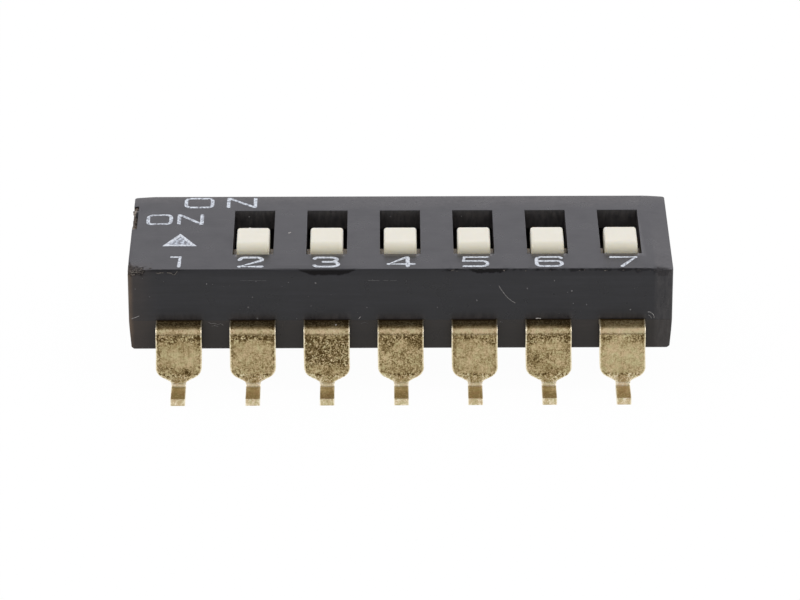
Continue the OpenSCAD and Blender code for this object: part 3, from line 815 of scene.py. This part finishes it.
def grime_and_light_level(co, x, wear):
    """How dull the strip is at a place on it, painted light included: bare with a painted highlight at
    sheared edges and the neck, with a painted highlight on the bend, painted shade where the shelf meets the
    body, worst under the bend.
    """
    out, z = co.y, co.z
    inset = off_rim(co)
    if inset < 0.8 * SHEARED:
        return BARE_EDGE_HIGHLIGHT
    if out > FOOT_TIP_Y - SHEARED:
        return -0.2 + 0.3 * noise.noise((x + co.x * 7, z * 9, 5.5))
    if out > FACE_Y + 0.02:
        return -0.18 + 0.16 * noise.noise((x + co.x * 3, out * 3, 9.1))
    drift = noise.noise((x + co.x * 1.6, z * 0.8, 2.7))
    blot = noise.noise((x + co.x * 2.4, z * 2.4, 6.3))
    # Painted highlight: the bend is made cleaner and the shelf's end before it darker, to shape the bend's
    # highlight
    bend = bump_between(z, Z_SEAM - 0.23 + 0.03 * drift, Z_SEAM - 0.05, 0.06)
    before_bend = bump_between(z, Z_SEAM - 0.075, Z_SEAM + 0.2, 0.03)
    beside_rim = bump_between(inset, SHEARED, SHEARED + 0.1, 0.03) * ease((z - 1.2) / 0.4)
    sides = 1 - min(1.0, (inset - SHEARED) / 0.32)
    shoulder = bump_between(z, 0.55, 1.1, 0.3)
    # Painted highlight: the neck is made brighter against the foot's dark reflection in it
    neck = bump_between(z, 0.2, 0.75, 0.2) * (0.65 + 0.9 * ease(1.2 - inset / 0.12))
    # The sum's last term darkens the shelf right against the body: painted shade in the crease
    level = (0.36 - wear["cleaner"] + wear["dirtier"] * middle_part(z, wear) + 0.14 * blot
             + dried_band(co, x) * (0.2 + 0.1 * drift) - 0.22 * bend + 0.28 * before_bend
             + 0.06 * sides + 0.16 * beside_rim + 0.04 * shoulder - 0.8 * neck
             + 1.1 * ease((BODY_W / 2 + 0.11 - out) / 0.07))
    for across, up, radius, strength in wear["stains"]:
        level += strength * ease(1.2 - math.hypot(co.x - across, z - up) / radius)
    return min(1.4, level)


def spot_level(co, x, wear):
    """How thickly brown spots lie on the strip: under the bend, down its sides and on some middles."""
    if co.y > FACE_Y + 0.02:
        return 0.5 if co.y > FOOT_TIP_Y - SHEARED else 0.2
    sides = 1 - min(1.0, max(0.0, off_rim(co) - SHEARED) / 0.3)
    low = bump_between(co.z, 0.5, 1.2, 0.3)
    middle = wear["spotted"] * middle_part(co.z, wear)
    shelf, bend = shelf_part(co.z), bump_between(co.z, Z_SEAM - 0.35, Z_SEAM, 0.1)
    thick = max(dried_band(co, x), middle, 0.6 * sides, 0.45 * low, 0.5 * shelf, 0.3 * bend)
    thick *= 0.65 if wear["cleaner"] else 1.0
    return max(thick, bump_between(co.z, 0.36, 0.8, 0.1))


def terminal(wear, x, side, pad_y):
    """One terminal; side is -1 for the front row and 1 for the rear, and pad_y is where its pad ends."""
    stations = strip_stations(pad_y)
    rows = len(stations) - 1
    columns = 26
    bm = bmesh.new()
    tilt_at = {}
    for vert in bmesh.ops.create_grid(bm, x_segments=columns, y_segments=rows, size=0.5)["verts"]:
        y, z, tilt, half = stations[round((vert.co.y + 0.5) * rows)]
        vert.co = (2 * vert.co.x * half, y, z)
        tilt_at[tuple(vert.co)] = math.radians(tilt)
    for vert in raise_faces(bm, bm.faces[:]):
        tilt = tilt_at[tuple(vert.co)]
        vert.co -= STRIP_T * Vector((0, math.cos(tilt), math.sin(tilt)))
    bmesh.ops.recalc_face_normals(bm, faces=bm.faces)
    rim = [e for e in bm.edges if e.calc_face_angle(0) > math.radians(50)]
    bmesh.ops.bevel(bm, geom=rim, offset=SHEARED, affect="EDGES", segments=3, profile=0.5, material=-1,
                    clamp_overlap=True)
    grime_and_light, wrinkle, spots, matt = [bm.verts.layers.float.new(kind) for kind in (GRIME_AND_LIGHT, WRINKLE, SPOTS, MATT)]
    for vert in bm.verts:
        vert[grime_and_light] = grime_and_light_level(vert.co, x, wear)
        vert[wrinkle] = wear["crazed"] * middle_part(vert.co.z, wear)
        if vert[grime_and_light] > BARE_EDGE_HIGHLIGHT:
            vert[spots] = spot_level(vert.co, x, wear)
            polished = bump_between(vert.co.z, Z_SEAM - 0.3, Z_SEAM - 0.01, 0.05)
            vert[matt] = wear["matt_shelf"] * shelf_part(vert.co.z) - 1.4 * polished
        vert.co.x += wear["knocked"] * min(1.0, max(0.0, (1.5 - vert.co.z) / 1.1))
    bmesh.ops.scale(bm, vec=(1, side, 1), verts=bm.verts)
    bmesh.ops.translate(bm, vec=(x, 0, 0), verts=bm.verts)
    bmesh.ops.recalc_face_normals(bm, faces=bm.faces)
    return bm


for i in POSITIONS:
    for row, side, pad_y in (("front", -1, PAD_FRONT_END), ("rear", 1, -PAD_REAR_START)):
        node = f"terminal_{row}_{i}"
        made = terminal({**USUAL, **WEAR.get(node, {})}, place(i), side, pad_y)
        finish_piece(made, f"bent_{node}", GOLD, "housing", [node])


# Slides: flange with two skids, and a knob drawn up from it and rounded

KNOB_W, KNOB_L, KNOB_H = 1.13, 1.64, 0.32
KNOB_R, KNOB_EDGE_R = 0.3, 0.1
FLANGE_W, FLANGE_L, FLANGE_T = 1.9, 2.24, 0.35
SKID_T = 0.25
SLIDE_GAP = 0.04
FLANGE_TOP = Z_TOP - ROOF_T - SLIDE_GAP
SLIDE_Y = -TRAVEL / 2
# How deep the painted shade on a knob's front is, and how far over the cover's top it is free of it
KNOB_SHADE, KNOB_UNSHADED = 0.28, 0.34


def edges_where(bm, test):
    """The edges whose two ends both pass a test."""
    return [e for e in bm.edges if all(test(v.co) for v in e.verts)]


def slide(x):
    """One slide at its OFF place."""
    bm = bmesh.new()
    low = FLANGE_TOP - FLANGE_T
    box(bm, (-FLANGE_W / 2, -FLANGE_L / 2, low), (FLANGE_W / 2, FLANGE_L / 2, FLANGE_TOP))
    skid_x = FLANGE_W / 2 - SKID_T
    for axis, reach in ((0, KNOB_W / 2), (1, KNOB_L / 2), (0, skid_x)):
        for side in (-1, 1):
            cut(bm, axis, side * reach)
    knob, skids = [], []
    for face in bm.faces:
        c = face.calc_center_median()
        if face.normal.z > 0.9 and abs(c.x) < KNOB_W / 2 and abs(c.y) < KNOB_L / 2:
            knob.append(face)
        if face.normal.z < -0.9 and abs(c.x) > skid_x:
            skids.append(face)
    for faces, rise in ((knob, Z_TOP + KNOB_H - FLANGE_TOP), (skids, Z_SEAM + SLIDE_GAP - low)):
        bmesh.ops.translate(bm, vec=(0, 0, rise), verts=raise_faces(bm, faces))
        bmesh.ops.delete(bm, geom=faces, context="FACES_ONLY")
        bmesh.ops.delete(bm, geom=[e for e in bm.edges if e.is_wire], context="EDGES")
    bmesh.ops.recalc_face_normals(bm, faces=bm.faces)
    bmesh.ops.dissolve_limit(bm, angle_limit=math.radians(1), verts=bm.verts, edges=bm.edges)
    high = Z_TOP + KNOB_H - 1e-4
    ends = edges_where(bm, lambda c: c.z > high and abs(abs(c.y) - KNOB_L / 2) < 1e-4)
    ends = [e for e in ends if abs(e.verts[0].co.y - e.verts[1].co.y) < 1e-4]
    bmesh.ops.bevel(bm, geom=ends, offset=KNOB_R, affect="EDGES", segments=10, profile=0.5, material=-1)
    sides = edges_where(bm, lambda c: c.z > FLANGE_TOP - 1e-4 and abs(abs(c.x) - KNOB_W / 2) < 1e-4)
    sides = [e for e in sides
             if e.calc_face_angle(0) > math.radians(50) and max(v.co.z for v in e.verts) > FLANGE_TOP + 0.01]
    bmesh.ops.bevel(bm, geom=sides, offset=KNOB_EDGE_R, affect="EDGES", segments=5, profile=0.5, material=-1)
    # Painted shade: the flange deep in the slot, and the knob's front low down by the window's rim
    painted_shade = bm.verts.layers.float.new(PAINTED_SHADE)
    for vert in bm.verts:
        if vert.co.z < FLANGE_TOP + 0.01:
            vert[painted_shade] = 1.0
        elif vert.co.y < -0.2:
            vert[painted_shade] = KNOB_SHADE * ease((Z_TOP + KNOB_UNSHADED - vert.co.z) / 0.2)
    bmesh.ops.translate(bm, vec=(x, SLIDE_Y, 0), verts=bm.verts)
    bmesh.ops.recalc_face_normals(bm, faces=bm.faces)
    return bm


for i in SLIDES:
    finish_piece(slide(place(i)), f"slide_{i}_knob", CREAM, f"actuator_{i}", [f"slide_{i}"])
    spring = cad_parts[f"contact_spring_{i}"]
    spring.data.materials.clear()
    spring.data.materials.append(SPRING_GOLD)


# Print: round-ended strokes laid on the cover's top

INK_T = 0.012


def corner(cx, cy, rx, ry, start, end, steps=6):
    """Points round a corner, as fractions of the character's box."""
    return [(cx + rx * math.cos(math.radians(start + (end - start) * k / steps)),
             cy + ry * math.sin(math.radians(start + (end - start) * k / steps))) for k in range(steps + 1)]


ROUND_X, ROUND_Y = 0.2, 0.26
STROKES = {
    "O": [corner(1 - ROUND_X, 1 - ROUND_Y, ROUND_X, ROUND_Y, 0, 90)
          + corner(ROUND_X, 1 - ROUND_Y, ROUND_X, ROUND_Y, 90, 180)
          + corner(ROUND_X, ROUND_Y, ROUND_X, ROUND_Y, 180, 270)
          + corner(1 - ROUND_X, ROUND_Y, ROUND_X, ROUND_Y, 270, 360)],
    "N": [[(0, 0), (0, 1)], [(0.04, 1), (0.96, 0)], [(1, 0), (1, 1)]],
    "1": [[(0, 1), (1, 1), (0.92, 0)]],
    "2": [[(0, 0.74)] + corner(0.2, 0.72, 0.18, 0.28, 150, 90, 4) + corner(0.76, 0.76, 0.24, 0.24, 90, -20)
          + [(0.9, 0.6), (0, 0), (1, 0)]],
    "3": [corner(0.14, 0.8, 0.12, 0.2, 160, 90, 4) + corner(0.74, 0.77, 0.2, 0.23, 90, -60)
          + [(0.78, 0.52), (0.4, 0.52)],
          [(0.78, 0.52)] + corner(0.76, 0.26, 0.24, 0.26, 75, -90)
          + corner(0.16, 0.2, 0.14, 0.2, 270, 200, 4)],
    "4": [[(0.7, 1), (0, 0.26), (1, 0.26)], [(0.76, 1), (0.76, 0)]],
    "5": [[(1, 1), (0.06, 1), (0.02, 0.58)] + corner(0.76, 0.29, 0.24, 0.29, 90, -90) + [(0.04, 0)]],
    "6": [corner(0.84, 0.82, 0.14, 0.18, 20, 90, 4) + corner(0.22, 0.76, 0.22, 0.24, 90, 180)
          + corner(0.22, 0.24, 0.22, 0.24, 180, 270) + corner(0.78, 0.28, 0.22, 0.28, 270, 450)
          + [(0.06, 0.56)]],
    "7": [[(0, 1), (1, 1), (0.43, 0)]],
}


def lay_ink(name, glyph, x0, x1, y0, y1, stroke):
    """Draw a character's strokes inside a box on the cover's top, in millimetres."""
    half = stroke / 2

    def in_box(u, v):
        return x0 + half + u * (x1 - x0 - stroke), y0 + half + v * (y1 - y0 - stroke), 0

    bm = bmesh.new()
    strokes = [[in_box(u, v) for u, v in points] for points in STROKES[glyph]]
    add_strokes(bm, strokes, half, resolution=3, closed=glyph == "O")
    # A round dot at every bend and end; a point that two strokes share takes one
    for u, v in dict.fromkeys((round(u, 4), round(v, 4)) for points in STROKES[glyph] for u, v in points):
        bmesh.ops.create_uvsphere(bm, u_segments=12, v_segments=6, radius=half * 0.985,
                                  matrix=Matrix.Translation(in_box(u, v)))
    bmesh.ops.scale(bm, vec=(1, 1, INK_T / stroke), verts=bm.verts)
    for vert in bm.verts:
        vert.co.z += top_z(vert.co.x) + INK_T * 0.15
    finish_piece(bm, name, WORN_INK if glyph in "ON" else INK, "housing")


# Name, character, its box from left to right and from front to rear, and the stroke's width
PRINT = [
    ("print_on_large_o", "O", -7.585, -6.535, 2.045, 2.925, 0.125),
    ("print_on_large_n", "N", -6.09, -5.025, 2.065, 2.92, 0.125),
    ("print_on_small_o", "O", -8.87, -7.945, 0.66, 1.53, 0.125),
    ("print_on_small_n", "N", -7.785, -6.86, 0.655, 1.525, 0.125),
    ("print_1", "1", -7.925, -7.515, -2.865, -1.97, 0.125),
    ("print_2", "2", -5.6, -4.685, -2.895, -2.01, 0.15),
    ("print_3", "3", -3.04, -2.065, -2.905, -2.03, 0.14),
    ("print_4", "4", -0.475, 0.53, -2.9, -2.035, 0.14),
    ("print_5", "5", 2.09, 3.065, -2.905, -2.04, 0.125),
    ("print_6", "6", 4.615, 5.615, -2.905, -2.045, 0.125),
    ("print_7", "7", 7.18, 8.165, -2.925, -2.06, 0.145),
]
for character in PRINT:
    lay_ink(*character)

# A round of three points is a triangle with its tip towards ON; its rim is solid and its middle patchy
ARROW_W, ARROW_L, ARROW_RIM = 1.2, 1.03, 0.12
ARROW_X, ARROW_FOOT_Y = -7.635, -1.14
for name, material in (("print_arrow", INK), ("print_arrow_middle", PATCHY_INK)):
    arrow = bmesh.new()
    shape = (Matrix.Translation((ARROW_X, ARROW_FOOT_Y + ARROW_L / 3, Z_TOP))
             @ Matrix.Diagonal((ARROW_W / math.sqrt(3), ARROW_L / 1.5, 1, 1)))
    bmesh.ops.create_circle(arrow, cap_ends=True, segments=3, radius=1, matrix=shape)
    rim = bmesh.ops.inset_region(arrow, faces=arrow.faces[:], use_boundary=True, use_even_offset=True,
                                 thickness=ARROW_RIM if material is INK else ARROW_RIM + 0.003)["faces"]
    middle = [f for f in arrow.faces if f not in rim]
    bmesh.ops.delete(arrow, geom=middle if material is INK else rim, context="FACES")
    bmesh.ops.translate(arrow, vec=(0, 0, INK_T / 2), verts=raise_faces(arrow, arrow.faces[:]))
    bmesh.ops.recalc_face_normals(arrow, faces=arrow.faces)
    finish_piece(arrow, name, material, "housing")


# Marks of handling: dust, scratches, a lifted sliver at the front edge and crumbs at the moulding gate

FRONT_Y = -BODY_W / 2


def on_front(path):
    """Points of a path on the front face, given across and up."""
    return [(x, FRONT_Y, z) for x, z in path]


def lay_threads(name, material, threads):
    """One piece of thin threads, each given by its radius and its points."""
    bm = bmesh.new()
    for radius, points in threads:
        add_strokes(bm, [points], radius)
    finish_piece(bm, name, material, "housing")


def speck(bm, at, size, flat):
    """A flattened uneven grain lying on a surface; flat is the axis it is thin along."""
    scale = [size * random.uniform(0.7, 1.4) for axis in range(3)]
    scale[flat] = 0.01
    spin = Matrix.Rotation(random.uniform(0, math.pi), 4, "XYZ"[flat])
    made = bmesh.ops.create_icosphere(bm, subdivisions=2, radius=1.0,
                                      matrix=Matrix.Translation(at) @ spin @ Matrix.Diagonal((*scale, 1)))
    for vert in made["verts"]:
        vert.co += noise.noise_vector(vert.co * 30) * size * 0.25


random.seed(7)
dust = bmesh.new()
FRONT_DUST = [(-6.645, 3.842, 0.024), (-4.95, 3.939, 0.026), (-3.841, 3.893, 0.02), (-2.912, 3.875, 0.038),
              (-5.079, 3.343, 0.018), (-5.232, 2.956, 0.022), (-1.151, 2.942, 0.028), (-3.074, 2.998, 0.016),
              (-9.096, 3.661, 0.02), (-3.567, 2.52, 0.018), (-4.919, 2.524, 0.028), (2.62, 3.192, 0.03),
              (4.35, 3.642, 0.022), (5.28, 3.931, 0.028), (5.731, 3.497, 0.018), (5.878, 3.542, 0.028),
              (5.933, 3.067, 0.018), (6.394, 3.019, 0.028), (7.903, 2.824, 0.024), (1.271, 2.926, 0.026),
              (0.2, 3.936, 0.02)]
for x, z, size in FRONT_DUST:
    speck(dust, (x, FRONT_Y, z), size, 1)
for x, y, size in ((-5.335, -2.442, 0.026), (2.9, 2.5, 0.02), (0.6, -2.3, 0.016)):
    speck(dust, (x, y, Z_TOP), size, 2)
for x in (-5.3, -0.335, 2.165):
    speck(dust, (x, 1.81, 4.156), 0.024, 1)
# The fine grains that lie everywhere, too small to be told apart
for k in range(28):
    at = (random.uniform(-9.1, 9.1), FRONT_Y, random.uniform(2.55, 4.1))
    speck(dust, at, random.uniform(0.005, 0.011), 1)
for k in range(24):
    at = (random.uniform(-9.1, 8.4), random.choice((-1, 1)) * random.uniform(1.95, 2.85), Z_TOP)
    speck(dust, at, random.uniform(0.005, 0.01), 2)
for k in range(40):
    at = (random.choice((-1, 1)) * BODY_L / 2, random.uniform(-2.7, 2.7), random.uniform(2.6, 4.0))
    speck(dust, at, random.uniform(0.006, 0.02), 0)
for k in range(60):
    at = (random.uniform(-9.1, 9.1), -FRONT_Y, random.uniform(2.55, 4.1))
    speck(dust, at, random.uniform(0.006, 0.022), 1)
finish_piece(dust, "dust_grains", DUST, "housing")

lint = bmesh.new()
speck(lint, (-2.22, 0.3 - FACE_Y, Z_SEAM), 0.03, 2)
speck(lint, (-3.86, -0.07, Z_TOP), 0.028, 2)
speck(lint, (-3.81, -0.03, Z_TOP), 0.02, 2)
add_strokes(lint, [on_front([(4.65, 2.495), (4.73, 2.505), (4.82, 2.495)])], 0.013)
finish_piece(lint, "pale_lint_grains", LINT, "housing")

shred = bmesh.new()
speck(shred, (-5.21, SLIDE_Y + KNOB_L / 2 - 0.17, Z_TOP + KNOB_H - 0.03), 0.04, 2)
finish_piece(shred, "slide_2_shred", LINT, "actuator_2")

# Threads on the front face, across and up, and slivers in all three directions: radius and points
SCRATCHES = (
    (0.008, [(3.372, 3.755), (3.44, 3.625), (3.518, 3.508), (3.6, 3.39), (3.691, 3.28), (3.81, 3.175),
             (3.94, 3.089)]),
    (0.012, [(-9.248, 2.531), (-9.13, 2.577), (-8.981, 2.641)]),
    (0.012, [(-1.44, 2.51), (-1.4, 2.55), (-1.37, 2.59)]),
    (0.011, [(8.5, 2.735), (8.57, 2.735), (8.63, 2.7), (8.69, 2.64), (8.725, 2.56), (8.72, 2.51)]),
    (0.009, [(8.52, 2.62), (8.57, 2.6), (8.61, 2.55), (8.63, 2.49)]),
    (0.0048, [(-6.6, 2.38), (-6.5, 2.33), (-6.38, 2.36), (-6.3, 2.3), (-6.18, 2.34), (-6.1, 2.27)]),
    (0.0042, [(-6.5, 2.24), (-6.38, 2.27), (-6.27, 2.22)]))
RUBS = ((0.005, [(-1.12, 3.96), (-0.72, 3.955)]), (0.006, [(-0.6, 3.958), (-0.42, 3.96)]),
        (0.005, [(-0.35, 3.95), (-0.12, 3.953)]), (0.004, [(-5.5, 3.97), (-4.6, 3.965)]),
        (0.005, [(-1.36, 2.33), (-1.28, 2.36), (-1.2, 2.355), (-1.12, 2.335)]),
        (0.006, [(3.35, 2.36), (3.45, 2.38), (3.52, 2.34)]))
SLIVERS = (
    (0.011, [(-8.4, -3.06, 4.28), (-8.3, -3.07, 4.265), (-8.2, -3.065, 4.28), (-8.08, -3.06, 4.275)]),
    (0.012, [(-7.99, -3.07, 4.285), (-7.85, -3.075, 4.27), (-7.78, -3.085, 4.215), (-7.72, -3.08, 4.22),
             (-7.64, -3.04, 4.33), (-7.58, -2.97, 4.4)]),
    (0.013, [(-9.25, -3.05, 4.3), (-9.12, -3.07, 4.295), (-9.02, -3.06, 4.31)]),
    (0.011, [(-9.2, -2.8, 4.37), (-9.08, -2.78, 4.375)]),
    (0.01, [(-8.62, -2.93, 4.39), (-8.52, -2.9, 4.395)]),
    (0.012, [(-8.24, -3.02, 4.385), (-8.18, -3.03, 4.38)]))
lay_threads("scratches", SCRATCH, [(radius, on_front(path)) for radius, path in SCRATCHES])
lay_threads("faint_rubs", DUST, [(radius, on_front(path)) for radius, path in RUBS])
lay_threads("lifted_slivers", TORN, SLIVERS)

# Lumps in the gate's recess: place along the end, height over the recess's floor, and radius
GATE_CRUMBS = ((1.86, 0.13, 0.1), (1.98, 0.1, 0.07), (1.74, 0.08, 0.06), (0.5, 0.14, 0.05))
GATE_LUMPS = ((2.22, 0.07, 0.09), (2.1, 0.1, 0.06), (1.55, 0.05, 0.06), (1.4, 0.07, 0.1), (1.2, 0.06, 0.07),
              (1.08, 0.09, 0.09), (0.9, 0.05, 0.06), (0.78, 0.08, 0.1), (0.6, 0.1, 0.08))
for name, material, lumps, depth, stretch in (
        ("broken_gate_crumbs", BROKEN_GATE, GATE_CRUMBS, 0.06, (0.8, 1.3, 0.9, 1)),
        ("rough_gate_floor", GATE_FLOOR, GATE_LUMPS, 0.09, (0.9, 1.4, 0.8, 1))):
    rough = bmesh.new()
    for y, rise, size in lumps:
        shape = Matrix.Translation((depth - BODY_L / 2, y, Z_TOP - GATE_H + rise)) @ Matrix.Diagonal(stretch)
        lump = bmesh.ops.create_icosphere(rough, subdivisions=3, radius=size, matrix=shape)
        for vert in lump["verts"]:
            vert.co += noise.noise_vector(vert.co * 16) * size * 0.5
    finish_piece(rough, name, material, "housing")


# Stage: pale floor, soft light and the camera

def white_stage(name, seen):
    """White board that shows as white to the eye and in reflections, and still takes the shadow."""
    material, tree = new_material(name)
    path = add(tree, "LightPath")
    direct = add(tree, "Math", links={0: path.outputs["Is Camera Ray"], 1: path.outputs["Is Glossy Ray"]},
                 operation="MAXIMUM")
    shown = add(tree, "Math", links={0: direct, 1: path.outputs["Is Transmission Ray"]},
                operation="MAXIMUM")
    share = add(tree, "Math", {1: seen}, {0: shown}, operation="MULTIPLY")
    board = add(tree, "BsdfDiffuse", {"Color": linear("#F4F4F4")})
    glow = add(tree, "Emission", {"Color": (1, 1, 1, 1), "Strength": 1.0})
    both = add(tree, "MixShader", links={0: share, 1: board, 2: glow})
    add(tree, "OutputMaterial", links={"Surface": both})
    return material


floor_mesh = bmesh.new()
bmesh.ops.create_grid(floor_mesh, x_segments=1, y_segments=1, size=1.5)
floor_data = bpy.data.meshes.new("floor")
floor_mesh.to_mesh(floor_data)
floor_mesh.free()
floor_data.materials.append(white_stage("white_board", 0.975))
floor = bpy.data.objects.new("floor", floor_data)
bpy.context.scene.collection.objects.link(floor)

world = bpy.data.worlds.new("studio")
world.use_nodes = True
bpy.context.scene.world = world
tree = world.node_tree
tree.nodes.clear()
direction = add(tree, "TexCoord").outputs["Generated"]
axis = add(tree, "SeparateXYZ", links={"Vector": direction})
# The studio is white all round above the horizon, and dim along the viewer's horizon and straight overhead
raised = add(tree, "MapRange", {"From Min": 0.04, "From Max": 0.28, "To Min": 0.05, "To Max": 0.95},
             {"Value": axis.outputs["Z"]}, interpolation_type="SMOOTHSTEP")
behind = add(tree, "MapRange", {"From Min": -0.05, "From Max": 0.3, "To Max": 1.26},
             {"Value": axis.outputs["Y"]}, interpolation_type="SMOOTHSTEP")
around = add(tree, "Math", links={0: raised, 1: behind}, operation="MAXIMUM")
zenith = add(tree, "MapRange", {"From Min": 0.9, "From Max": 0.985, "To Min": 1.0, "To Max": 0.55},
             {"Value": axis.outputs["Z"]}, interpolation_type="SMOOTHSTEP")
level = add(tree, "Math", links={0: around, 1: zenith}, operation="MULTIPLY")
room = add(tree, "Background", {"Color": (0.985, 0.97, 1.03, 1)}, {"Strength": level})
plain = add(tree, "Background", {"Color": (1, 1, 1, 1), "Strength": 1.0})
path = add(tree, "LightPath")
both = add(tree, "MixShader", links={0: path.outputs["Is Camera Ray"], 1: room, 2: plain})
add(tree, "OutputWorld", links={"Surface": both})


def softbox(name, at, width, power):
    """A square soft light aimed at the switch, in millimetres."""
    lamp = bpy.data.lights.new(name, "AREA")
    lamp.shape = "RECTANGLE"
    lamp.size, lamp.size_y = width * MM, width * MM
    lamp.energy = power
    holder = bpy.data.objects.new(name, lamp)
    spot = Vector(at) * MM
    turn = (-spot).to_track_quat("-Z", "Y")
    holder.matrix_world = Matrix.Translation(spot) @ turn.to_matrix().to_4x4()
    bpy.context.scene.collection.objects.link(holder)


for name, side in (("left_softbox", -1), ("right_softbox", 1)):
    softbox(name, (side * 240, -110, 220), 160, 0.2)

# The camera stands in front of the numbered side and looks down on it
PITCH_DOWN, YAW, ROLL = math.radians(25.444), math.radians(0.205), math.radians(-0.086)
AIM = Vector((-0.0168, -BODY_W / 2, 3.2161))
DISTANCE = 166.356
FOCAL_PX, IMAGE_W, SENSOR = 4845.1, 800, 36

look = Vector((math.sin(YAW) * math.cos(PITCH_DOWN), math.cos(YAW) * math.cos(PITCH_DOWN),
               -math.sin(PITCH_DOWN)))
right = Vector((math.cos(YAW), -math.sin(YAW), 0))
up = right.cross(look)
right, up = (math.cos(ROLL) * right + math.sin(ROLL) * up, math.cos(ROLL) * up - math.sin(ROLL) * right)
camera_data = bpy.data.cameras.new("camera")
camera_data.sensor_width = SENSOR
camera_data.lens = FOCAL_PX / IMAGE_W * SENSOR
camera_data.clip_start, camera_data.clip_end = 0.01, 10
camera = bpy.data.objects.new("camera", camera_data)
turn = Matrix((right, up, -look)).transposed().to_4x4()
camera.matrix_world = Matrix.Translation((AIM - look * DISTANCE) * MM) @ turn
bpy.context.scene.collection.objects.link(camera)
bpy.context.scene.camera = camera
bpy.context.scene.view_settings.view_transform = "Standard"
